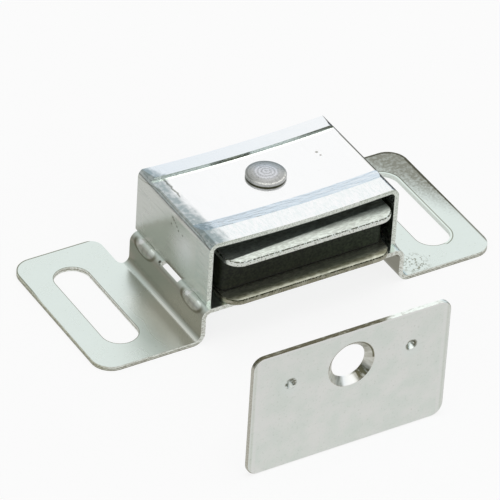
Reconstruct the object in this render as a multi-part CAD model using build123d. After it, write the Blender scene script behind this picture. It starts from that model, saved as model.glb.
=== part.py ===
from build123d import *

import math
import os

# Magnetic catch for a cabinet door, in millimetres.
# +X runs along the catch, +Z away from the cabinet, and -Y is the side that the door comes to.
# The origin is the middle of the mounting face, halfway between the two screw slots.

# ---- sizes ---------------------------------------------------------------------------------

# base bracket: one strip of sheet steel, folded into feet, risers and a bridge
overall_length = 60.0
foot_depth = 25.4
bracket_sheet = 0.65
bridge_top = 5.35
riser_outside = 30.8
foot_bend_inside = 1.0
shoulder_bend_inside = 0.7
foot_inner_edge = 33.7
neck_back = 6.4
foot_corner_radius = 2.8
ear_corner_radius = 1.7
notch_radius = 0.8

# screw slots in the feet
slot_spacing = 47.8
slot_width = 5.1
slot_length = 17.7

# cover: one strip of bright sheet folded to an upside-down U
cover_sheet = 0.65
cover_width = 28.64
cover_front = -11.9
cover_back = 6.9
cover_top = 15.15
cover_bend_outside = 1.3
cover_sag = 0.45

# panel pressed down across the cover's whole top, folds and all
panel_front = -6.6
panel_back = 4.1
panel_depth = 0.45
ramp_length = 2.2
step_length = 0.15
back_strip_fall = 0.28
panel_step_wall = 0.4
back_strip_drop = 0.03
press_lift = 0.08

# shoulder of the bracket, outside the cover's leg
bump_spacing = 12.3
bump_length = 4.2
bump_radius = 1.0
bump_rise = 0.3
bump_gap = 0.03
window_length = 4.5
window_inset = 0.7
window_outset = 0.62

# magnet pack, held by the rivet and free to turn a little on it; both sit right of the middle
pole_width = 25.2
pole_thickness = 0.8
pole_overhang = 1.1
pack_back_inset = 1.3
pole_front_radius = 2.4
pole_back_radius = 1.0
pole_edge_chamfer = 0.12
magnet_thickness = 5.4
magnet_width = 24.6
magnet_setback = 2.7
magnet_back_inset = 1.5
magnet_corner_radius = 1.0
magnet_edge_chamfer = 0.15

# rivet
rivet_x = 0.5
rivet_y = -0.9
rivet_shank = 3.0
rivet_head = 5.5
rivet_head_rim = 0.45
rivet_head_crown = 0.35
rivet_tail = 4.6
rivet_tail_height = 0.9
pivot_clearance = 0.08
magnet_hole_clearance = 0.3

# strike plate, for the door
strike_width = 29.0
strike_height = 18.4
strike_sheet = 0.65
strike_corner_radius = 1.7
strike_edge_chamfer = 0.12
strike_x = -9.2
strike_gap = 24.4
strike_hole = 5.0
strike_countersink = 6.6
strike_cone_depth = 0.75
strike_land = 0.3
strike_boss_wall = 0.8
strike_rim_wall = 0.4
strike_hole_drop = 5.4
prick_spacing = 17.7
prick_width = 1.3
prick_tip = 0.26
prick_depth = 0.55
prick_wall = 0.5

# ---- places that follow from the sizes -----------------------------------------------------

bridge_underside = bridge_top - bracket_sheet
bridge_middle = (neck_back - foot_depth / 2) / 2
pole_front = -foot_depth / 2 - pole_overhang
pack_back = cover_back - pack_back_inset
magnet_bottom = bridge_top + pole_thickness
upper_pole_bottom = magnet_bottom + magnet_thickness
cover_middle = (cover_front + cover_back) / 2
cover_top_middle = cover_top - cover_sag
panel_floor = cover_top_middle - panel_depth
sag_radius = ((cover_width / 2) ** 2 + cover_sag**2) / (2 * cover_sag)
rivet_seat = panel_floor + (rivet_x + rivet_head / 2) ** 2 / (2 * sag_radius)
strike_front = pole_front - strike_gap - strike_sheet
strike_hole_z = strike_height - strike_hole_drop

# how far a cutting shape runs past what it cuts, and how closely a place has to match
MARGIN = 2.0
NEAR = 0.01


def upright_prism(outline, low, high):
    """Raise a plan outline from one height to another."""
    return extrude(Pos(0, 0, low) * outline, amount=high - low)


def both_ends(piece):
    """A feature made at the +X end, and its mirror image at the -X end."""
    return piece + mirror(piece, about=Plane.YZ)


def drilled(piece, bore, low, high):
    """The rivet's hole, through whatever a piece has between two heights."""
    hole = Pos(rivet_x, rivet_y, (low + high) / 2) * Cylinder(bore / 2, high - low + MARGIN)
    return piece - hole


# ---- base bracket --------------------------------------------------------------------------


def folded_strip():
    """The strip as it leaves the press brake: foot, riser, bridge, riser, foot."""
    half = bracket_sheet / 2
    riser = riser_outside / 2 - half
    end = overall_length / 2
    fold = FilletPolyline(
        (-end, half),
        (-riser, half),
        (-riser, bridge_top - half),
        (riser, bridge_top - half),
        (riser, half),
        (end, half),
        radius=[
            foot_bend_inside + half,
            shoulder_bend_inside + half,
            shoulder_bend_inside + half,
            foot_bend_inside + half,
        ],
    )
    section = Plane.XZ * trace(fold, line_width=bracket_sheet)
    return extrude(section, amount=foot_depth / 2, both=True)


def blank_outline():
    """The strip seen from above: the feet are deeper than the neck between them."""
    end = overall_length / 2
    ear = foot_inner_edge / 2
    side = foot_depth / 2
    outline = make_face(
        Polyline(
            (-end, -side),
            (end, -side),
            (end, side),
            (ear, side),
            (ear, neck_back),
            (-ear, neck_back),
            (-ear, side),
            (-end, side),
            close=True,
        )
    )
    corners = outline.vertices()
    outer = [v for v in corners if abs(v.X) > end - NEAR]
    outline = fillet(outer, foot_corner_radius)
    beside_notch = [v for v in outline.vertices() if abs(v.X) < ear + NEAR and v.Y > 0]
    ears = [v for v in beside_notch if v.Y > side - NEAR]
    outline = fillet(ears, ear_corner_radius)
    notch = [v for v in outline.vertices() if abs(v.Y - neck_back) < NEAR]
    return fillet(notch, notch_radius)


def shoulder_bump(radius, length):
    """A blister along the shoulder's bend, fat in the middle and thinner towards its ends."""
    half = length / 2
    quarter = length / 4
    end = radius - bump_rise
    shoulder = radius - bump_rise / 4
    profile = make_face(
        Polyline(
            (0, -half),
            (end, -half),
            (shoulder, -quarter),
            (radius, 0),
            (shoulder, quarter),
            (end, half),
            (0, half),
            close=True,
        )
    )
    # turned so that the seam of the revolved surface lies inside the bend
    bump = Rot(0, 135, 0) * revolve(profile, Axis.Y)
    bend_radius = shoulder_bend_inside + bracket_sheet
    reach = (bend_radius + bump_rise - bump_radius) * math.sqrt(0.5)
    bend_x = riser_outside / 2 - bend_radius
    bend_z = bridge_top - bend_radius
    return Pos(bend_x + reach, 0, bend_z + reach) * bump


def bridge_core():
    """The space that the bridge folds over, out to the middle of the sheet."""
    half = bracket_sheet / 2
    height = bridge_top - half
    section = Pos(0, height / 2) * Rectangle(riser_outside - 2 * half, height)
    shoulders = [v for v in section.vertices() if v.Y > height - NEAR]
    section = fillet(shoulders, shoulder_bend_inside + half)
    return extrude(Plane.XZ * section, amount=foot_depth, both=True)


def shoulder_bumps():
    """Both bumps at one shoulder, trimmed to stand beside the cover's leg, and their hollows."""
    wall = cover_width / 2 + bump_gap
    room = foot_depth
    outside = Pos(wall + room / 2, 0, bridge_top) * Box(room, room, room)
    skin = (shoulder_bump(bump_radius, bump_length) & outside) - bridge_core()
    hollow = shoulder_bump(bump_radius - bracket_sheet, bump_length - bracket_sheet)
    places = [Pos(0, bridge_middle + side * bump_spacing / 2, 0) for side in (-1, 1)]
    return [place * skin for place in places], [place * hollow for place in places]


def shoulder_window():
    """The oblong window through the shoulder, under the cover's leg."""
    leg_face = cover_width / 2
    low = leg_face - window_inset
    high = leg_face + window_outset
    bend_z = bridge_top - shoulder_bend_inside - bracket_sheet
    outline = Rectangle(high - low, window_length)
    outline = Pos((low + high) / 2, bridge_middle) * outline
    return upright_prism(outline, bend_z, bridge_top + MARGIN)


def make_base_bracket():
    strip = folded_strip() & upright_prism(blank_outline(), -MARGIN, bridge_top + MARGIN)
    skins, hollows = shoulder_bumps()
    for skin in skins:
        strip += both_ends(skin)
    for hollow in hollows:
        strip -= both_ends(hollow)
    slot = SlotOverall(slot_length, slot_width, rotation=90)
    strip -= both_ends(Pos(slot_spacing / 2, 0, 0) * upright_prism(slot, -MARGIN, MARGIN))
    strip -= both_ends(shoulder_window())
    return drilled(strip, rivet_shank, bridge_underside, bridge_top)


# ---- cover ---------------------------------------------------------------------------------


def cover_block(inset):
    """The U as a solid block, with its top sagging between the bends, drawn in by an inset."""
    half = cover_width / 2
    sides = [
        Line((-half, 0), (-half, cover_top)),
        ThreePointArc((-half, cover_top), (0, cover_top_middle), (half, cover_top)),
        Line((half, cover_top), (half, 0)),
        Line((half, 0), (-half, 0)),
    ]
    section = make_face(sides)
    top_corners = [v for v in section.vertices() if v.Y > cover_top_middle]
    section = fillet(top_corners, cover_bend_outside)
    if inset:
        section = offset(section, amount=-inset, kind=Kind.INTERSECTION)
    depth = cover_back - cover_front + 2 * inset
    block = extrude(Plane.XZ * section, amount=depth / 2, both=True)
    return Pos(0, cover_middle, 0) * block


def pressed_form(drop, spread):
    """What the press takes off the cover's top: it follows the sag, out past both folds."""
    level = cover_top_middle - drop
    sky = cover_top + MARGIN
    run = ramp_length * (1 + press_lift / panel_depth)
    section = make_face(
        Plane.YZ
        * Polyline(
            (panel_front - run - spread, level + press_lift),
            (panel_front - spread, level - panel_depth),
            (panel_back + spread, level - panel_depth),
            (panel_back + spread + step_length, level - back_strip_drop),
            (cover_back, level - back_strip_fall),
            (cover_back + MARGIN, level - back_strip_fall),
            (cover_back + MARGIN, sky),
            (panel_front - run - spread, sky),
            close=True,
        )
    )
    pivot = Axis((0, 0, cover_top_middle + sag_radius), (0, 1, 0))
    swing = math.degrees((cover_width / 2 + MARGIN) / sag_radius)
    return revolve(section.rotate(pivot, -swing), pivot, 2 * swing)


def make_cover():
    outside = cover_block(0) - pressed_form(0, 0)
    inside = cover_block(cover_sheet) - pressed_form(cover_sheet, panel_step_wall)
    depth = cover_back - cover_front + 2 * MARGIN
    below = Pos(0, cover_middle) * Rectangle(cover_width + 2 * MARGIN, depth)
    shell = outside - inside - upright_prism(below, -MARGIN, bridge_top)
    return drilled(shell, rivet_shank, panel_floor - cover_sheet, panel_floor)


# ---- magnet pack ---------------------------------------------------------------------------


def make_pole_plate(low):
    """One pole plate: the front corners are rounder than the back ones, the rims are broken."""
    depth = pack_back - pole_front
    outline = Pos(rivet_x, (pack_back + pole_front) / 2) * Rectangle(pole_width, depth)
    front = [v for v in outline.vertices() if v.Y < pole_front + NEAR]
    outline = fillet(front, pole_front_radius)
    back = [v for v in outline.vertices() if v.Y > pack_back - NEAR]
    outline = fillet(back, pole_back_radius)
    high = low + pole_thickness
    plate = upright_prism(outline, low, high)
    rims = plate.edges().group_by(Axis.Z)
    plate = chamfer(rims[0] + rims[-1], pole_edge_chamfer)
    return drilled(plate, rivet_shank + 2 * pivot_clearance, low, high)


def make_magnet_block():
    front = pole_front + magnet_setback
    back = pack_back - magnet_back_inset
    outline = RectangleRounded(magnet_width, back - front, magnet_corner_radius)
    outline = Pos(rivet_x, (front + back) / 2) * outline
    block = upright_prism(outline, magnet_bottom, upper_pole_bottom)
    rims = block.edges().group_by(Axis.Z)
    block = chamfer(rims[0] + rims[-1], magnet_edge_chamfer)
    bore = rivet_shank + 2 * magnet_hole_clearance
    return drilled(block, bore, magnet_bottom, upper_pole_bottom)


# ---- rivet ---------------------------------------------------------------------------------


def make_rivet():
    """Low domed head on the cover's panel, shank through the pack, tail set under the bridge."""
    shank = rivet_shank / 2
    head = rivet_head / 2
    tail = rivet_tail / 2
    rim = rivet_seat + rivet_head_rim
    crown = rim + rivet_head_crown
    dome_radius = (head**2 + rivet_head_crown**2) / (2 * rivet_head_crown)
    foot = bridge_underside - rivet_tail_height
    section = make_face(
        [
            Line((0, foot), (shank, foot)),
            Line((shank, foot), (tail, foot + tail - shank)),
            Line((tail, foot + tail - shank), (tail, bridge_underside)),
            Line((tail, bridge_underside), (shank, bridge_underside)),
            Line((shank, bridge_underside), (shank, rivet_seat)),
            Line((shank, rivet_seat), (head, rivet_seat)),
            Line((head, rivet_seat), (head, rim)),
            RadiusArc((head, rim), (0, crown), -dome_radius),
            Line((0, crown), (0, foot)),
        ]
    )
    return Pos(rivet_x, rivet_y, 0) * revolve(Plane.XZ * section, Axis.Z)


# ---- strike plate --------------------------------------------------------------------------


def strike_turning(points):
    """A round form turned about an axis square to the strike, from radii and depths behind its face."""
    section = make_face(Polyline(*points, close=True))
    return revolve(Plane.XY * section, Axis.Y)


def countersink():
    """The dished wall round the screw hole, which stands out at the back, and what it leaves open."""
    hole = strike_hole / 2
    mouth = strike_countersink / 2
    back = strike_cone_depth + strike_land
    root = mouth + strike_boss_wall
    rim = hole + strike_rim_wall
    inside_sheet = strike_sheet / 2
    boss = strike_turning([(0, inside_sheet), (root, inside_sheet), (rim, back), (0, back)])
    cone = strike_turning(
        [
            (0, -MARGIN),
            (mouth, -MARGIN),
            (mouth, 0),
            (hole, strike_cone_depth),
            (hole, back + MARGIN),
            (0, back + MARGIN),
        ]
    )
    return boss, cone


def prick():
    """A punched point that stands out at the back to bite the door, and the dent that formed it."""
    base = prick_width / 2
    tip = prick_tip / 2
    back = strike_sheet + prick_depth
    inside_sheet = strike_sheet / 2
    profile = [(0, inside_sheet), (base, inside_sheet), (base, strike_sheet), (tip, back), (0, back)]
    point = strike_turning(profile)
    dent = strike_turning([(0, -MARGIN), (base, -MARGIN), (base, 0), (0, back - prick_wall)])
    return point, dent


def make_strike_plate():
    outline = RectangleRounded(strike_width, strike_height, strike_corner_radius)
    plate = extrude(Plane.XZ * outline, amount=-strike_sheet)
    rims = plate.edges().group_by(Axis.Y)
    plate = chamfer(rims[0] + rims[-1], strike_edge_chamfer)
    hole_place = Pos(0, 0, strike_hole_z - strike_height / 2)
    boss, cone = countersink()
    plate = plate + hole_place * boss - hole_place * cone
    point, dent = prick()
    for side in (-1, 1):
        place = hole_place * Pos(side * prick_spacing / 2, 0, 0)
        plate = plate + place * point - place * dent
    return Pos(strike_x, strike_front, strike_height / 2) * plate


# ---- write one file for each piece ---------------------------------------------------------

pieces = {
    "base_bracket": make_base_bracket(),
    "cover": make_cover(),
    "rivet": make_rivet(),
    "lower_pole_plate": make_pole_plate(bridge_top),
    "magnet_block": make_magnet_block(),
    "upper_pole_plate": make_pole_plate(upper_pole_bottom),
    "strike_plate": make_strike_plate(),
}

os.makedirs("parts", exist_ok=True)
for name, piece in pieces.items():
    export_step(piece, f"parts/{name}.step")
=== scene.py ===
import math

import bpy
from mathutils import Euler, Matrix, Vector


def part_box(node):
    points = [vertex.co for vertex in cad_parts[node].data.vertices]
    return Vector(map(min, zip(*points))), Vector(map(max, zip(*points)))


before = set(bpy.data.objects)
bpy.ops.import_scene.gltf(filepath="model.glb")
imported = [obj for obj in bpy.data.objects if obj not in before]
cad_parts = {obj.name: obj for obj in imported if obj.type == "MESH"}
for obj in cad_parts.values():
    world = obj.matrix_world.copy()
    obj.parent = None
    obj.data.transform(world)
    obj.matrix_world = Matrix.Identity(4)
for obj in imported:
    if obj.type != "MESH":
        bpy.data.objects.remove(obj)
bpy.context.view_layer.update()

# ---- base bracket --------------------------------------------------------------------------
# One strip of zinc-plated steel, blanked with its two screw slots and folded into feet,
# risers and a bridge. Its rolled faces are satin, its sheared edges are torn, and the
# plating barrel has left small marks on it. Two screws through the slots hold it.

MM = 0.001
bracket_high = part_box("base_bracket")[1]
sheet_top = 0.65 * MM
foot_start = bracket_high.x - 13.5 * MM
slot_x, slot_straight, slot_radius = 23.9 * MM, 6.3 * MM, 2.55 * MM
corner_radius = 2.8 * MM
bump_x, bump_y, bump_z, bump_spread = 14.51 * MM, -3.15 * MM, 4.46 * MM, 6.15 * MM
bump_slimness = 0.34
shoulder_z = 3.7 * MM


def add(tree, kind, inputs=None, **properties):
    """One more shader node, with its properties and the values or links of its inputs."""
    made = tree.nodes.new("ShaderNode" + kind)
    for name, value in properties.items():
        setattr(made, name, value)
    for name, value in (inputs or {}).items():
        if isinstance(value, bpy.types.NodeSocket):
            tree.links.new(value, made.inputs[name])
        else:
            made.inputs[name].default_value = value
    return made


def metal(name, roughness):
    """A bare metal: its material, tree, shader, place on the surface, its axes and its facing."""
    material = bpy.data.materials.new(name)
    material.use_nodes = True
    tree = material.node_tree
    shader = tree.nodes["Principled BSDF"]
    shader.inputs["Metallic"].default_value = 1.0
    shader.inputs["Roughness"].default_value = roughness
    coordinates = add(tree, "TexCoord").outputs
    axes = add(tree, "SeparateXYZ", {0: coordinates["Object"]}).outputs
    normals = add(tree, "SeparateXYZ", {0: coordinates["Normal"]}).outputs
    return material, tree, shader, coordinates["Object"], axes, normals


def noise(tree, place, size, detail=3.0, stretch=(1.0, 1.0, 1.0)):
    """Cloudy values from 0 to 1 whose patches are about as wide as the size."""
    scaled = add(tree, "VectorMath", {0: place, 1: stretch}, operation="MULTIPLY").outputs[0]
    clouds = add(tree, "TexNoise", {"Vector": scaled, "Scale": 1 / size, "Detail": detail})
    return clouds.outputs["Fac"]


def rise(tree, value, low, high):
    """A soft step: 0 at the low value and 1 at the high one, which may be the smaller."""
    names = {"Value": value, "From Min": low, "From Max": high}
    return add(tree, "MapRange", names, interpolation_type="SMOOTHSTEP").outputs["Result"]


def calc(tree, operation, a, b=0.0, c=0.0):
    """One sum on one, two or three numbers."""
    return add(tree, "Math", {0: a, 1: b, 2: c}, operation=operation).outputs[0]


def times(tree, first, *others):
    """All the factors multiplied together."""
    for factor in others:
        first = calc(tree, "MULTIPLY", first, factor)
    return first


def elsewhere(tree, value):
    """1 where the value is 0, and 0 where it is 1."""
    return calc(tree, "SUBTRACT", 1.0, value)


def line(tree, value, middle, outer, inner):
    """1 where the value is near its middle, and 0 from the outer distance on."""
    off = calc(tree, "ABSOLUTE", calc(tree, "SUBTRACT", value, middle))
    return rise(tree, off, outer, inner)


def length(tree, sides):
    """How far it is over these sides, which stand square to each other."""
    slope = add(tree, "CombineXYZ", sides).outputs[0]
    return add(tree, "VectorMath", {0: slope}, operation="LENGTH").outputs["Value"]


def apart(tree, place, point):
    """How far the surface is from a point."""
    return add(tree, "VectorMath", {0: place, 1: point}, operation="DISTANCE").outputs["Value"]


def blend(tree, factor, first, second):
    """The first colour, turning to the second as the factor goes from 0 to 1."""
    return add(tree, "Mix", {0: factor, 6: first, 7: second}, data_type="RGBA").outputs[2]


def rgb(red, green, blue):
    """A solid colour."""
    return (red, green, blue, 1.0)


def tint(tree, factor, colour, by):
    """The colour multiplied by another one where the factor is 1."""
    inputs = {0: factor, 6: colour, 7: by}
    return add(tree, "Mix", inputs, data_type="RGBA", blend_type="MULTIPLY").outputs[2]


def spots(tree, place, marks):
    """1 inside small round marks, each given by its middle and its radius in millimetres."""
    found = 0.0
    for *middle, radius in marks:
        offset = apart(tree, place, [v * MM for v in middle])
        mark = rise(tree, offset, 1.3 * radius * MM, 0.6 * radius * MM)
        found = calc(tree, "MAXIMUM", found, mark)
    return found


def relief(tree, shader, height, depth):
    """Fine relief on the surface, from a height and the depth in metres of one step of it."""
    bump = add(tree, "Bump", {"Height": height, "Distance": depth, "Strength": 1.0})
    tree.links.new(bump.outputs["Normal"], shader.inputs["Normal"])


zinc, tree, shader, place, axes, normals = metal("zinc_plate", 0.3)
across = calc(tree, "ABSOLUTE", axes["X"])
clouds = noise(tree, place, 5 * MM)
specks = noise(tree, place, 0.3 * MM, 4.0)
plating = blend(tree, clouds, rgb(0.72, 0.79, 0.75), rgb(0.79, 0.86, 0.82))
plating = tint(tree, rise(tree, specks, 0.62, 0.75), plating, rgb(0.86, 0.86, 0.84))

# beside its riser the left foot carries a painted reflection, lighter, and it is a little shinier
near_riser = rise(tree, axes["X"], -21.5 * MM, -18 * MM)
on_left = calc(tree, "LESS_THAN", axes["X"], -15 * MM)
flat_face = rise(tree, normals["Z"], 0.7, 0.95)
painted_sheen_and_gloss = times(tree, near_riser, flat_face, rise(tree, axes["Y"], 2 * MM, -5 * MM), on_left)
plating = blend(tree, painted_sheen_and_gloss, plating, rgb(1.0, 1.0, 0.95))

# the risers carry a painted shade, darker and brownish
upright = rise(tree, calc(tree, "ABSOLUTE", normals["X"]), 0.35, 0.95)
on_riser = times(tree, upright, calc(tree, "LESS_THAN", across, foot_start))
plating = tint(tree, on_riser, plating, rgb(0.50, 0.445, 0.385))

# the bumps on the shoulders carry a painted highlight and a dark line of painted shade round
# their lower side, and the two on the left a painted glint at the back
along = calc(tree, "ABSOLUTE", calc(tree, "SUBTRACT", axes["Y"], bump_y))
along = times(tree, calc(tree, "SUBTRACT", along, bump_spread), bump_slimness)
sides = {"X": calc(tree, "SUBTRACT", across, bump_x), "Y": along}
sides["Z"] = calc(tree, "SUBTRACT", axes["Z"], bump_z)
from_bump = length(tree, sides)
high_up = calc(tree, "GREATER_THAN", axes["Z"], shoulder_z)
on_bump = times(tree, rise(tree, from_bump, 1.1 * MM, 0.9 * MM), high_up)
plating = blend(tree, times(tree, on_bump, 0.3), plating, rgb(1.0, 1.0, 0.95))
crease_shade = line(tree, from_bump, 1.08 * MM, 0.13 * MM, 0.02 * MM)
crease_shade = times(tree, crease_shade, high_up, rise(tree, axes["Z"], 5.3 * MM, 4.9 * MM))
plating = tint(tree, crease_shade, plating, rgb(0.52, 0.50, 0.44))
glints = spots(tree, place, [(-14.95, 4.2, 5.45, 0.6), (-14.95, -8.1, 5.45, 0.6)])
plating = blend(tree, glints, plating, rgb(1.0, 1.0, 1.0))

# small dark marks of painted shade at the back end of the left window
window_shade = spots(tree, place, [(-14.95, -0.6, 5.2, 0.28), (-15.2, -0.9, 5.0, 0.2)])
plating = tint(tree, window_shade, plating, rgb(0.12, 0.11, 0.08))

# the back outer corner of the right foot is painted darker and browner
outward = calc(tree, "MULTIPLY_ADD", axes["Y"], 0.5, axes["X"])
outward = calc(tree, "MULTIPLY_ADD", specks, 3 * MM, outward)
mottle = rise(tree, noise(tree, place, 0.6 * MM, 6.0), 0.35, 0.6)
mottle = calc(tree, "MULTIPLY_ADD", mottle, 0.3, 0.75)
dark_corner = times(tree, rise(tree, outward, 27.5 * MM, 34 * MM), mottle)
dark_corner = calc(tree, "MAXIMUM", dark_corner, rise(tree, axes["X"], 29.6 * MM, 29.85 * MM))
plating = tint(tree, dark_corner, plating, rgb(0.38, 0.35, 0.31))

# and its front is scuffed, with fine flakes lifted between the scuffs
scuffs = [(17.99, -10.3, 0.65, 0.14), (18.83, -10.71, 0.65, 0.1), (17.58, -12.1, 0.65, 0.14)]
scuffs += [(21.09, -10.35, 0.65, 0.1), (24.95, 2.79, 0.65, 0.12), (24.95, 2.0, 0.65, 0.12)]
scuffs += [(18.3, -9.6, 0.65, 0.08), (18.6, -11.4, 0.65, 0.08), (16.9, -11.2, 0.65, 0.1)]
scuffed = spots(tree, place, scuffs)
worn = rise(tree, apart(tree, place, (18.3 * MM, -10.8 * MM, sheet_top)), 2.8 * MM, 1.2 * MM)
flakes = line(tree, noise(tree, place, 0.9 * MM, 3.0), 0.5, 0.03, 0.01)
scuffed = calc(tree, "MAXIMUM", scuffed, times(tree, worn, flakes))
plating = tint(tree, scuffed, plating, rgb(0.42, 0.40, 0.34))

# a thin dark line is painted round the slots, and round the back of the feet
on_foot = calc(tree, "LESS_THAN", axes["Z"], sheet_top + 0.05 * MM)
depthways = calc(tree, "ABSOLUTE", axes["Y"])
slot_end = calc(tree, "MAXIMUM", calc(tree, "SUBTRACT", depthways, slot_straight), 0.0)
from_slot = length(tree, {"X": calc(tree, "SUBTRACT", across, slot_x), "Y": slot_end})
corner_x = calc(tree, "SUBTRACT", across, bracket_high.x - corner_radius)
corner_y = calc(tree, "SUBTRACT", depthways, bracket_high.y - corner_radius)
corner_x, corner_y = (calc(tree, "MAXIMUM", side, 0.0) for side in (corner_x, corner_y))
from_corner = length(tree, {"X": corner_x, "Y": corner_y})
far_side = rise(tree, axes["X"], slot_x + 0.1 * MM, slot_x + 0.9 * MM)
slot_outline = calc(tree, "MULTIPLY_ADD", far_side, -0.32 * MM, from_slot)
slot_outline = rise(tree, slot_outline, slot_radius + 0.13 * MM, slot_radius + 0.03 * MM)
back_side = calc(tree, "MULTIPLY_ADD", calc(tree, "SIGN", axes["X"]), -slot_x, axes["X"])
back_side = rise(tree, calc(tree, "MULTIPLY_ADD", back_side, 0.64, axes["Y"]), -1 * MM, 3 * MM)
wider = calc(tree, "MULTIPLY_ADD", dark_corner, 0.2 * MM, times(tree, back_side, 0.09 * MM))
foot_outline = calc(tree, "ADD", from_corner, wider)
foot_outline = rise(tree, foot_outline, corner_radius - 0.12 * MM, corner_radius - 0.03 * MM)
foot_outline = times(tree, foot_outline, calc(tree, "MULTIPLY_ADD", back_side, 0.85, 0.15))
dark_outline = times(tree, calc(tree, "MAXIMUM", slot_outline, foot_outline), on_foot)
plating = tint(tree, dark_outline, plating, rgb(0.34, 0.33, 0.27))

# a bright band of painted highlight runs along the far side of the right slot
slot_highlight = rise(tree, from_slot, slot_radius + 0.31 * MM, slot_radius + 0.21 * MM)
slot_highlight = times(tree, far_side, slot_highlight)
plating = blend(tree, slot_highlight, plating, rgb(0.80, 0.88, 0.82))

# the sheared edges are speckled, with a dark line at half height and one at the foot
end_cut = times(tree, upright, calc(tree, "GREATER_THAN", across, foot_start))
sheared = calc(tree, "MAXIMUM", end_cut, calc(tree, "ABSOLUTE", normals["Y"]))
tear = noise(tree, place, 0.16 * MM, 3.0, (0.5, 0.5, 1.0))
edge = blend(tree, rise(tree, tear, 0.35, 0.6), rgb(0.60, 0.60, 0.52), rgb(0.97, 1.0, 0.93))
# the painted highlight of the right slot carries onto its edge
edge = blend(tree, times(tree, slot_highlight, 0.8), edge, rgb(0.92, 1.0, 0.94))
outer_end = rise(tree, from_corner, corner_radius - 0.3 * MM, corner_radius - 0.1 * MM)
edge = tint(tree, times(tree, end_cut, outer_end), edge, rgb(0.76, 0.76, 0.67))
half_way = times(tree, line(tree, axes["Z"], 0.3 * MM, 0.1 * MM, 0.03 * MM), 0.8)
outline = calc(tree, "GREATER_THAN", from_slot, 3 * MM)
below = times(tree, rise(tree, axes["Z"], 0.2 * MM, 0.06 * MM), outline)
shear_lines = times(tree, calc(tree, "MAXIMUM", half_way, below), on_foot, elsewhere(tree, slot_highlight))
edge = tint(tree, shear_lines, edge, rgb(0.36, 0.34, 0.27))
plating = blend(tree, rise(tree, sheared, 0.4, 0.7), plating, edge)
tree.links.new(plating, shader.inputs["Base Color"])

satin = calc(tree, "MULTIPLY_ADD", clouds, 0.14, 0.22)
satin = calc(tree, "MULTIPLY_ADD", painted_sheen_and_gloss, -0.08, satin)
tree.links.new(calc(tree, "MULTIPLY_ADD", dark_corner, 0.15, satin), shader.inputs["Roughness"])
height = calc(tree, "SUBTRACT", noise(tree, place, 0.5 * MM, 4.0), scuffed)
relief(tree, shader, height, 0.006 * MM)
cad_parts["base_bracket"].material_slots[0].material = zinc

# ---- cover ---------------------------------------------------------------------------------
# One strip of bright aluminium, pressed with a shallow panel across its top and folded
# down over the magnet pack, with its legs ending on the shoulders of the bracket.
# It is the shiniest piece, and the press and the bending die have marked it.

cover_low, cover_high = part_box("cover")
leg_inside, fold_z = 13.7 * MM, 14.64 * MM
front_strip, back_strip = -8.4 * MM, 4.4 * MM

bright, tree, shader, place, axes, normals = metal("bright_aluminium", 0.16)
clouds = noise(tree, place, 6 * MM)
grain = noise(tree, place, 0.25 * MM, 3.0, (1.0, 0.08, 1.0))
ragged = noise(tree, place, 1.1 * MM, 5.0, (1.0, 0.5, 1.0))
sheet = blend(tree, clouds, rgb(0.955, 0.96, 0.96), rgb(0.97, 0.975, 0.98))

# the legs carry a painted shade, duller than the top, save for one lighter place on the left
on_leg = rise(tree, calc(tree, "ABSOLUTE", normals["X"]), 0.8, 0.98)
off_leg = elsewhere(tree, on_leg)
unshaded_place = apart(tree, place, (cover_low.x, -4.8 * MM, 10.3 * MM))
unshaded_place = rise(tree, unshaded_place, 0.6 * MM, 4.2 * MM)
leg_shade = times(tree, on_leg, calc(tree, "MULTIPLY_ADD", unshaded_place, 0.8, 0.2))
sheet = tint(tree, leg_shade, sheet, rgb(0.77, 0.79, 0.735))

# low down behind they carry a painted shade, up to a slanting edge
slanting = calc(tree, "MULTIPLY_ADD", axes["Y"], 0.83, axes["Z"])
slanting = calc(tree, "MULTIPLY_ADD", noise(tree, place, 2.2 * MM, 4.0), 1.6 * MM, slanting)
slanting_shade = rise(tree, slanting, 12.7 * MM, 11.7 * MM)
slanting_shade = times(tree, slanting_shade, on_leg, rise(tree, axes["Y"], -7.5 * MM, -1.5 * MM))
sheet = tint(tree, slanting_shade, sheet, rgb(0.83, 0.80, 0.77))
drawn = calc(tree, "MULTIPLY_ADD", on_leg, 0.85, 0.15)
drawn = times(tree, rise(tree, grain, 0.5, 0.75), drawn)
sheet = tint(tree, drawn, sheet, rgb(0.86, 0.87, 0.86))

# a thin dark line runs along each fold, as a bending die leaves, and falls at both ends
back_fall = times(tree, rise(tree, axes["Y"], 2.0 * MM, cover_high.y), 0.8 * MM)
front_fall = times(tree, rise(tree, axes["Y"], -8.9 * MM, cover_low.y), 0.35 * MM)
fold_height = calc(tree, "ADD", calc(tree, "ADD", axes["Z"], back_fall), front_fall)
die_line = line(tree, fold_height, fold_z, 0.09 * MM, 0.03 * MM)
outside = calc(tree, "GREATER_THAN", calc(tree, "ABSOLUTE", axes["X"]), leg_inside)
sheet = tint(tree, times(tree, die_line, outside), sheet, rgb(0.68, 0.68, 0.64))

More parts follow.
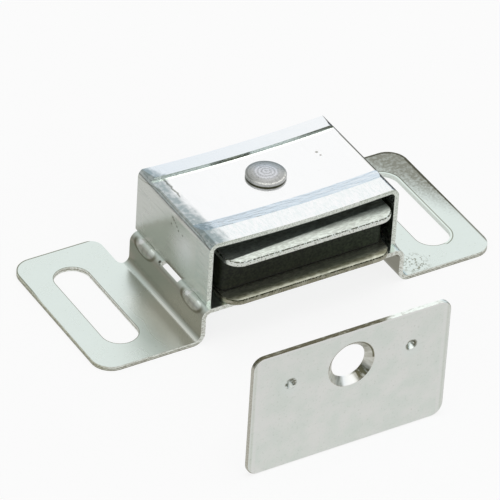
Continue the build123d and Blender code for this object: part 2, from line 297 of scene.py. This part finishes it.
# beside the left fold the top is painted bluish grey, in a band with a ragged border
border = calc(tree, "MULTIPLY_ADD", axes["Y"], 0.06, axes["X"])
border = calc(tree, "MULTIPLY_ADD", ragged, 2.4 * MM, calc(tree, "SUBTRACT", border, 0.4 * MM))
band = times(tree, rise(tree, border, -10.6 * MM, -12.3 * MM), off_leg)
corner = calc(tree, "MULTIPLY_ADD", axes["Y"], -0.22, axes["X"])
corner = times(tree, rise(tree, corner, -12.3 * MM, -12.9 * MM), off_leg, 0.7)
corner = times(tree, corner, rise(tree, axes["Y"], 0.0, 1.5 * MM))
corner = times(tree, corner, rise(tree, axes["Y"], back_strip + 0.3 * MM, back_strip))
band = calc(tree, "MAXIMUM", band, corner)
mottle = rise(tree, noise(tree, place, 0.7 * MM, 5.0), 0.35, 0.6)
mottle = calc(tree, "MULTIPLY_ADD", mottle, 0.35, 0.5)
mottle = calc(tree, "MULTIPLY_ADD", grain, 0.4, mottle)
facing_up = calc(tree, "MULTIPLY_ADD", rise(tree, normals["Z"], 0.7, 0.95), 0.25, 0.75)
sheet = tint(tree, times(tree, band, mottle, facing_up), sheet, rgb(0.38, 0.44, 0.45))

# a thin ragged dark line of painted shadow at the back left corner of the panel
wander = calc(tree, "MULTIPLY_ADD", noise(tree, place, 0.9 * MM, 4.0), 0.8 * MM, axes["X"])
corner_shadow = line(tree, wander, -11.75 * MM, 0.2 * MM, 0.06 * MM)
corner_shadow_reach = line(tree, axes["Y"], 1.9 * MM, 2.5 * MM, 2.1 * MM)
corner_shadow = times(tree, corner_shadow, corner_shadow_reach, rise(tree, ragged, 0.38, 0.5))
sheet = tint(tree, corner_shadow, sheet, rgb(0.36, 0.37, 0.34))

# the right fold carries a dark painted shade, and so does the edge of the top beside it
fold_shade = times(tree, rise(tree, normals["X"], 0.22, 0.42), rise(tree, normals["X"], 0.97, 0.9))
panel_rim = rise(tree, axes["X"], 13.76 * MM, 13.86 * MM)
panel_rim = times(tree, panel_rim, rise(tree, normals["Z"], 0.6, 0.8))
panel_rim = times(tree, panel_rim, rise(tree, axes["Y"], -8.6 * MM, -6.2 * MM))
sheet = tint(tree, calc(tree, "MAXIMUM", fold_shade, panel_rim), sheet, rgb(0.09, 0.10, 0.10))

# the strip in front of the panel is a little darker, in patches and fine strokes
in_front = rise(tree, axes["Y"], front_strip, front_strip - 0.3 * MM)
strokes = rise(tree, noise(tree, place, 0.3 * MM, 3.0, (1.0, 0.3, 1.0)), 0.4, 0.7)
strokes = calc(tree, "MULTIPLY_ADD", rise(tree, ragged, 0.35, 0.65), 0.4, strokes)
sheet = tint(tree, times(tree, in_front, strokes), sheet, rgb(0.91, 0.95, 0.95))

# small dents and scratches on the top and on the left leg
dents = [(9.11, 0.55, 14.5, 0.22), (9.23, -0.27, 14.5, 0.16), (7.27, -3.05, 14.5, 0.13)]
dents += [(-14.32, -2.43, 13.37, 0.2), (-14.32, -2.72, 13.1, 0.18), (-14.32, -2.15, 12.2, 0.18)]
dents += [(-14.32, -3.12, 12.9, 0.14), (-14.32, -3.54, 12.6, 0.18), (-14.32, -3.98, 12.2, 0.18)]
dents += [(-14.32, -5.04, 12.1, 0.14), (4.2, -1.1, 14.5, 0.1), (-3.6, 1.2, 14.5, 0.1)]
dented = spots(tree, place, dents)
sheet = tint(tree, dented, sheet, rgb(0.42, 0.42, 0.38))

# the sheared edges are grey, with a broken dark line under the top
sheared = rise(tree, calc(tree, "ABSOLUTE", normals["Y"]), 0.6, 0.85)
tear = noise(tree, place, 0.15 * MM, 3.0)
edge = blend(tree, rise(tree, tear, 0.3, 0.6), rgb(0.54, 0.58, 0.51), rgb(0.92, 0.97, 0.89))
under_top = line(tree, axes["Z"], cover_high.z - 0.26 * MM, 0.12 * MM, 0.04 * MM)
under_top = times(tree, under_top, rise(tree, ragged, 0.3, 0.5))
edge = tint(tree, under_top, edge, rgb(0.72, 0.74, 0.70))
tree.links.new(blend(tree, sheared, sheet, edge), shader.inputs["Base Color"])

# the top is polished and a little wavy, and the ramp down to the panel is rippled
polish = calc(tree, "MULTIPLY_ADD", clouds, 0.1, 0.1)
tree.links.new(calc(tree, "MULTIPLY_ADD", on_leg, 0.12, polish), shader.inputs["Roughness"])
on_ramp = times(tree, rise(tree, normals["Z"], 0.995, 0.97), rise(tree, normals["Z"], 0.7, 0.8))
ripples = times(tree, noise(tree, place, 0.5 * MM, 4.0, (0.3, 1.0, 1.0)), on_ramp)
waves = times(tree, noise(tree, place, 2.5 * MM, 3.0), 4.0)
height = calc(tree, "MULTIPLY_ADD", ripples, 22.0, waves)
height = calc(tree, "MULTIPLY_ADD", grain, 0.3, height)
height = calc(tree, "SUBTRACT", height, dented)
relief(tree, shader, height, 0.004 * MM)
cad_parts["cover"].material_slots[0].material = bright

# ---- magnet pack ---------------------------------------------------------------------------
# A pressed ferrite block between two stamped and tumbled steel pole plates, which the rivet
# holds. The plates stand proud of the block so that only they meet the strike.

pole_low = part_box("upper_pole_plate")[0]
curl_start = pole_low.y + 2.2 * MM
between_plates = 10 * MM

tumbled, tree, shader, place, axes, normals = metal("tumbled_steel", 0.36)
upper = calc(tree, "GREATER_THAN", axes["Z"], between_plates)
lower = elsewhere(tree, upper)
grain = noise(tree, place, 0.25 * MM, 4.0, (0.4, 1.0, 1.0))
steel = blend(tree, rise(tree, grain, 0.35, 0.65), rgb(0.52, 0.55, 0.50), rgb(0.74, 0.79, 0.73))

# the rims are hammered in the barrel: dark pits and bright specks
level = calc(tree, "ABSOLUTE", normals["Z"])
rim = rise(tree, level, 0.95, 0.5)
pits = noise(tree, place, 0.22 * MM, 4.0)
rim_steel = blend(tree, rise(tree, pits, 0.3, 0.47), rgb(0.36, 0.37, 0.31), rgb(0.97, 1.0, 0.93))
steel = blend(tree, rim, steel, rim_steel)

# the lower plate is browner, and a painted shade darkens it towards its front but for a brighter
# strip there
forward = calc(tree, "SUBTRACT", curl_start, axes["Y"])
front_shade = calc(tree, "MAXIMUM", rise(tree, forward, 0.0, 1.4 * MM), rim)
shade_mottle = rise(tree, noise(tree, place, 0.6 * MM, 5.0, (0.5, 1.0, 1.0)), 0.35, 0.6)
strip = times(tree, rise(tree, forward, 1.5 * MM, 1.9 * MM), elsewhere(tree, rim))
front_shade = times(tree, front_shade, lower, calc(tree, "MULTIPLY_ADD", shade_mottle, 0.3, 0.75))
front_shade = times(tree, front_shade, calc(tree, "MULTIPLY_ADD", strip, -0.5, 1.0))
steel = tint(tree, front_shade, steel, rgb(0.34, 0.33, 0.28))
steel = tint(tree, lower, steel, rgb(1.0, 0.96, 0.88))

# the chamfers are dark, broken up by the pits
arris = times(tree, line(tree, level, 0.707, 0.2, 0.1), rise(tree, pits, 0.62, 0.5))
tree.links.new(tint(tree, arris, steel, rgb(0.16, 0.16, 0.12)), shader.inputs["Base Color"])

# the plates are flat, and relief alone makes them fall in front, as stamping rolls a sheet:
# the upper one straight and aslant, the lower one in a curl
roll_start = calc(tree, "MULTIPLY_ADD", upper, -0.3 * MM, curl_start)
slant = times(tree, axes["X"], upper, 0.065)
forward = calc(tree, "SUBTRACT", calc(tree, "ADD", slant, roll_start), axes["Y"])
forward = calc(tree, "MAXIMUM", forward, 0.0)
straight = times(tree, upper, forward, -0.3)
curl = times(tree, lower, forward, forward, -0.14 / MM)
height = calc(tree, "MULTIPLY_ADD", grain, 0.018 * MM, calc(tree, "ADD", straight, curl))
relief(tree, shader, height, 1.0)
for name in ("lower_pole_plate", "upper_pole_plate"):
    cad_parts[name].material_slots[0].material = tumbled

# the ferrite is a ceramic, close to black with a green cast, and a painted shadow darkens its foot
ferrite, tree, shader, place, axes, _ = metal("ferrite", 0.55)
shader.inputs["Metallic"].default_value = 0.0
shader.inputs["Specular IOR Level"].default_value = 0.35
grain = noise(tree, place, 0.35 * MM, 5.0)
block = rise(tree, grain, 0.3, 0.75)
block = blend(tree, block, rgb(0.008, 0.012, 0.005), rgb(0.048, 0.066, 0.036))
block = tint(tree, rise(tree, axes["X"], 12 * MM, -4 * MM), block, rgb(0.72, 0.62, 0.60))
# a painted shadow along the foot of the block
block = tint(tree, rise(tree, axes["Z"], 6.7 * MM, 6.3 * MM), block, rgb(0.2, 0.2, 0.2))
tree.links.new(block, shader.inputs["Base Color"])
relief(tree, shader, grain, 0.02 * MM)
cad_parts["magnet_block"].material_slots[0].material = ferrite

# ---- rivet ---------------------------------------------------------------------------------
# A soft aluminium rivet down through the cover, the magnet pack and the bridge, with its
# tail spun over underneath. Its low head keeps the rings of the lathe.

rivet_low, rivet_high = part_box("rivet")
rivet_x, rivet_y = (rivet_low.x + rivet_high.x) / 2, (rivet_low.y + rivet_high.y) / 2
ring_spacing = 0.5 * MM
head_seat = rivet_high.z - 0.8 * MM

alloy_finish, tree, shader, place, axes, _ = metal("satin_rivet", 0.26)
sides = {"X": calc(tree, "SUBTRACT", axes["X"], rivet_x)}
sides["Y"] = calc(tree, "SUBTRACT", axes["Y"], rivet_y)
radius = length(tree, sides)
wander = times(tree, noise(tree, place, 1.2 * MM), 0.5 * MM)
turns = times(tree, calc(tree, "ADD", radius, wander), 2 * math.pi / ring_spacing)
rings = calc(tree, "MULTIPLY_ADD", calc(tree, "SINE", turns), 0.5, 0.5)
rings = times(tree, rings, rise(tree, radius, 2.3 * MM, 1.2 * MM))
specks = noise(tree, place, 0.2 * MM, 4.0)
alloy = blend(tree, rings, rgb(0.52, 0.53, 0.55), rgb(0.72, 0.73, 0.76))
# a painted shade darkens the slope of the head a little, leaving its crown lighter
alloy = tint(tree, rise(tree, radius, 1.3 * MM, 2.0 * MM), alloy, rgb(0.86, 0.85, 0.80))
alloy = tint(tree, rise(tree, specks, 0.5, 0.7), alloy, rgb(0.68, 0.68, 0.66))

# the head's rim carries a painted highlight in front, and a painted shade all round
lip = line(tree, radius, 2.52 * MM, 0.16 * MM, 0.06 * MM)
alloy = tint(tree, times(tree, lip, 0.6), alloy, rgb(0.45, 0.46, 0.42))
in_front = rise(tree, axes["Y"], rivet_y, rivet_y - 2 * MM)
lip_highlight = times(tree, lip, in_front, rise(tree, specks, 0.3, 0.55))
alloy = blend(tree, lip_highlight, alloy, rgb(0.82, 0.82, 0.78))

# a dark ring is painted where the head meets the cover
seat_ring = rise(tree, axes["Z"], head_seat + 0.22 * MM, head_seat + 0.1 * MM)
alloy = tint(tree, seat_ring, alloy, rgb(0.12, 0.12, 0.07))
tree.links.new(alloy, shader.inputs["Base Color"])
relief(tree, shader, rings, 0.012 * MM)
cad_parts["rivet"].material_slots[0].material = alloy_finish

# ---- strike plate --------------------------------------------------------------------------
# Zinc-plated sheet steel for the door, with rounded corners and a countersunk hole for its
# screw. Two dents are punched into it, whose points stand out behind and grip the door.

strike_low, strike_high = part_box("strike_plate")
middle_x = (strike_low.x + strike_high.x) / 2
half_width = (strike_high.x - strike_low.x) / 2
hole_z = strike_high.z - 5.4 * MM
mouth_radius = 3.25 * MM
prick_x = 8.85 * MM
prick_radius = 0.55 * MM

plain, tree, shader, place, axes, normals = metal("strike_zinc", 0.36)
clouds = noise(tree, place, 3 * MM, 4.0)
specks = noise(tree, place, 0.35 * MM, 4.0)
plating = blend(tree, rise(tree, clouds, 0.3, 0.7), rgb(0.90, 0.95, 0.89), rgb(0.99, 1.0, 0.96))
plating = tint(tree, rise(tree, specks, 0.55, 0.75), plating, rgb(0.88, 0.89, 0.87))

# a bright line along the top, and a dull and a pale band down each side
from_top = calc(tree, "SUBTRACT", strike_high.z, axes["Z"])
from_middle = calc(tree, "ABSOLUTE", calc(tree, "SUBTRACT", axes["X"], middle_x))
from_side = calc(tree, "SUBTRACT", half_width, from_middle)
dull_band = line(tree, from_side, 0.45 * MM, 0.25 * MM, 0.05 * MM)
plating = tint(tree, dull_band, plating, rgb(0.92, 0.92, 0.90))
pale_band = times(tree, line(tree, from_side, 0.9 * MM, 0.35 * MM, 0.1 * MM), 0.5)
top_line = line(tree, from_top, 0.28 * MM, 0.2 * MM, 0.08 * MM)
pale = calc(tree, "MAXIMUM", top_line, pale_band)
plating = blend(tree, pale, plating, rgb(1.0, 1.0, 0.97))

# the cut edge is a dull line; along the top a painted reflection makes it dark for most
# of its length and light at its right end
rim = rise(tree, calc(tree, "ABSOLUTE", normals["Y"]), 0.9, 0.75)
tear = noise(tree, place, 0.25 * MM, 3.0, (0.4, 1.0, 1.0))
edge = blend(tree, rise(tree, tear, 0.35, 0.65), rgb(0.56, 0.54, 0.46), rgb(0.68, 0.67, 0.59))
bright_reflection_end = rise(tree, axes["X"], middle_x + 3.5 * MM, middle_x + 6.5 * MM)
bright_reflection_end = calc(tree, "ADD", bright_reflection_end, calc(tree, "MULTIPLY_ADD", tear, 1.2, -0.6))
top_edge = rise(tree, normals["Z"], 0.3, 0.6)
edge = blend(tree, times(tree, top_edge, bright_reflection_end), edge, rgb(0.95, 1.0, 0.95))
edge = tint(tree, times(tree, top_edge, elsewhere(tree, bright_reflection_end)), edge, rgb(0.22, 0.21, 0.16))
# the lower edge carries a painted shade
edge = tint(tree, rise(tree, normals["Z"], -0.3, -0.6), edge, rgb(0.62, 0.60, 0.50))
plating = blend(tree, rim, plating, edge)

# the countersink is scored round, with a painted highlight below and a dark painted reflection on
# either side of that
from_hole = {0: place, 1: (middle_x, strike_low.y, hole_z)}
from_hole = add(tree, "VectorMath", from_hole, operation="SUBTRACT").outputs[0]
spokes = add(tree, "SeparateXYZ", {0: from_hole}).outputs
hole_radius = length(tree, {"X": spokes["X"], "Y": spokes["Z"]})
angle = calc(tree, "ARCTAN2", spokes["Z"], spokes["X"])
unrolled = {"X": times(tree, angle, 1.5 * MM), "Y": spokes["Y"]}
unrolled = add(tree, "CombineXYZ", unrolled).outputs[0]
score = noise(tree, unrolled, 0.25 * MM, 4.0, (1.0, 0.25, 1.0))
cone = blend(tree, rise(tree, score, 0.3, 0.7), rgb(0.60, 0.59, 0.51), rgb(0.90, 0.90, 0.82))
cone = blend(tree, line(tree, angle, -1.6, 0.5, 0.2), cone, rgb(1.0, 1.0, 0.97))
right_dark_reflection = line(tree, angle, -0.85, 0.45, 0.2)
left_dark_reflection = times(tree, line(tree, angle, -2.05, 0.25, 0.05), 0.6)
dark_reflection = times(tree, calc(tree, "MAXIMUM", right_dark_reflection, left_dark_reflection), rise(tree, score, 0.3, 0.55))
cone = tint(tree, dark_reflection, cone, rgb(0.16, 0.15, 0.10))
# a painted shade darkens the upper half of the mouth
mouth_shade = line(tree, hole_radius, mouth_radius, 0.14 * MM, 0.05 * MM)
upper_half = calc(tree, "GREATER_THAN", spokes["Z"], 0.0)
cone = tint(tree, times(tree, mouth_shade, upper_half), cone, rgb(0.30, 0.29, 0.22))
in_hole = calc(tree, "LESS_THAN", hole_radius, mouth_radius + 0.15 * MM)
plating = blend(tree, in_hole, plating, cone)

# the punched dents carry a dark ring of painted shade round a bright middle, in a pale
# painted highlight where the plate bulges
for side in (-1, 1):
    sideways = calc(tree, "SUBTRACT", axes["X"], middle_x + side * prick_x)
    upwards = calc(tree, "SUBTRACT", axes["Z"], hole_z)
    radius = length(tree, {"X": sideways, "Y": upwards})
    bulge = length(tree, {"X": sideways, "Y": calc(tree, "ADD", upwards, 0.5 * MM)})
    bulge_highlight = times(tree, rise(tree, bulge, 2.0 * MM, 0.5 * MM), 0.6)
    plating = blend(tree, bulge_highlight, plating, rgb(0.95, 1.0, 0.96))
    dent_shade = line(tree, radius, prick_radius, 0.42 * MM, 0.12 * MM)
    off_middle = rise(tree, bulge, 0.25 * MM, 0.5 * MM)
    dent_shade = times(tree, dent_shade, off_middle, rise(tree, tear, 0.68, 0.42))
    plating = tint(tree, dent_shade, plating, rgb(0.24, 0.23, 0.17))
tree.links.new(plating, shader.inputs["Base Color"])
tree.links.new(calc(tree, "MULTIPLY_ADD", clouds, 0.15, 0.27), shader.inputs["Roughness"])
relief(tree, shader, calc(tree, "ADD", clouds, specks), 0.008 * MM)
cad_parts["strike_plate"].material_slots[0].material = plain

# ---- studio --------------------------------------------------------------------------------
# A table covered with white paper, under one large soft lamp in a white room. The metal
# shows the paper as grey and darker further off, and the walls as bluish with one dim side.

floor_size = 6.0
paper_white, paper_in_metal, room_light = 0.82, 0.52, 0.55

bpy.ops.object.select_all(action="DESELECT")
bpy.ops.mesh.primitive_plane_add(size=floor_size, location=(0, 0, 0))
floor = bpy.context.active_object
floor.name = "floor"
paper = bpy.data.materials.new("white_paper")
paper.use_nodes = True
tree = paper.node_tree
shader = tree.nodes["Principled BSDF"]
shader.inputs["Roughness"].default_value = 1.0
shader.inputs["Specular IOR Level"].default_value = 0.0
shader.inputs["Emission Color"].default_value = rgb(1.0, 1.0, 1.0)
path = add(tree, "LightPath").outputs
far = apart(tree, add(tree, "TexCoord").outputs["Object"], (0, 0, 0))
far = times(tree, rise(tree, far, 0.06, 0.3), path["Is Glossy Ray"])
grey = blend(tree, far, rgb(0.20, 0.20, 0.20), rgb(0.12, 0.12, 0.11))
tree.links.new(grey, shader.inputs["Base Color"])
near_glow = times(tree, calc(tree, "SUBTRACT", path["Is Glossy Ray"], far), paper_in_metal)
glow = calc(tree, "MULTIPLY_ADD", path["Is Camera Ray"], paper_white, near_glow)
tree.links.new(glow, shader.inputs["Emission Strength"])
floor.data.materials.append(paper)

lamp_data = bpy.data.lights.new("top_lamp", "AREA")
lamp_data.size = 0.8
lamp_data.energy = 2.2
lamp = bpy.data.objects.new("top_lamp", lamp_data)
lamp.location = (0.1, -0.1, 1.0)
lamp.rotation_mode = "QUATERNION"
lamp.rotation_quaternion = (-lamp.location).to_track_quat("-Z", "Y")
bpy.context.scene.collection.objects.link(lamp)

world = bpy.data.worlds.new("white_room")
bpy.context.scene.world = world
world.use_nodes = True
tree = world.node_tree
background = tree.nodes["Background"]
path = add(tree, "LightPath").outputs
seen = calc(tree, "MAXIMUM", path["Is Camera Ray"], path["Is Glossy Ray"])
seen = calc(tree, "MAXIMUM", seen, path["Is Transmission Ray"])
direction = add(tree, "TexCoord").outputs["Generated"]
climb = add(tree, "SeparateXYZ", {0: direction}).outputs["Z"]
wall = blend(tree, rise(tree, climb, 0.04, 0.24), rgb(0.16, 0.16, 0.14), rgb(0.68, 0.785, 0.875))
wall = blend(tree, rise(tree, climb, 0.28, 0.55), wall, rgb(1, 1, 1))
dim_side = Vector((-0.43, 0.676, 0.598)).normalized()
towards_dim = add(tree, "VectorMath", {0: direction, 1: dim_side}, operation="DOT_PRODUCT")
dimness = rise(tree, towards_dim.outputs["Value"], 0.72, 0.9)
wall = blend(tree, dimness, wall, rgb(0.54, 0.56, 0.54))
room = blend(tree, path["Is Glossy Ray"], rgb(1, 1, 1), wall)
tree.links.new(room, background.inputs["Color"])
strength = add(tree, "MapRange", {"Value": seen, "To Min": room_light, "To Max": 1.0})
tree.links.new(strength.outputs["Result"], background.inputs["Strength"])

# ---- camera --------------------------------------------------------------------------------
# A long lens, looking down on the catch from its left front corner. It is turned a little
# about its own line of sight.

azimuth, elevation, roll = (math.radians(angle) for angle in (-32.449, 36.732, 3.688))
distance = 0.6806
aim = Vector((0.0, 0.001, 0.001))
turned = Euler((math.pi / 2 - elevation, 0, azimuth)).to_matrix() @ Matrix.Rotation(roll, 3, "Z")
camera_data = bpy.data.cameras.new("camera")
camera_data.sensor_width = 36.0
camera_data.lens = 369.1
camera = bpy.data.objects.new("camera", camera_data)
camera.matrix_world = Matrix.Translation(aim + turned.col[2] * distance) @ turned.to_4x4()
bpy.context.scene.collection.objects.link(camera)
bpy.context.scene.camera = camera

bpy.context.scene.view_settings.view_transform = "Standard"
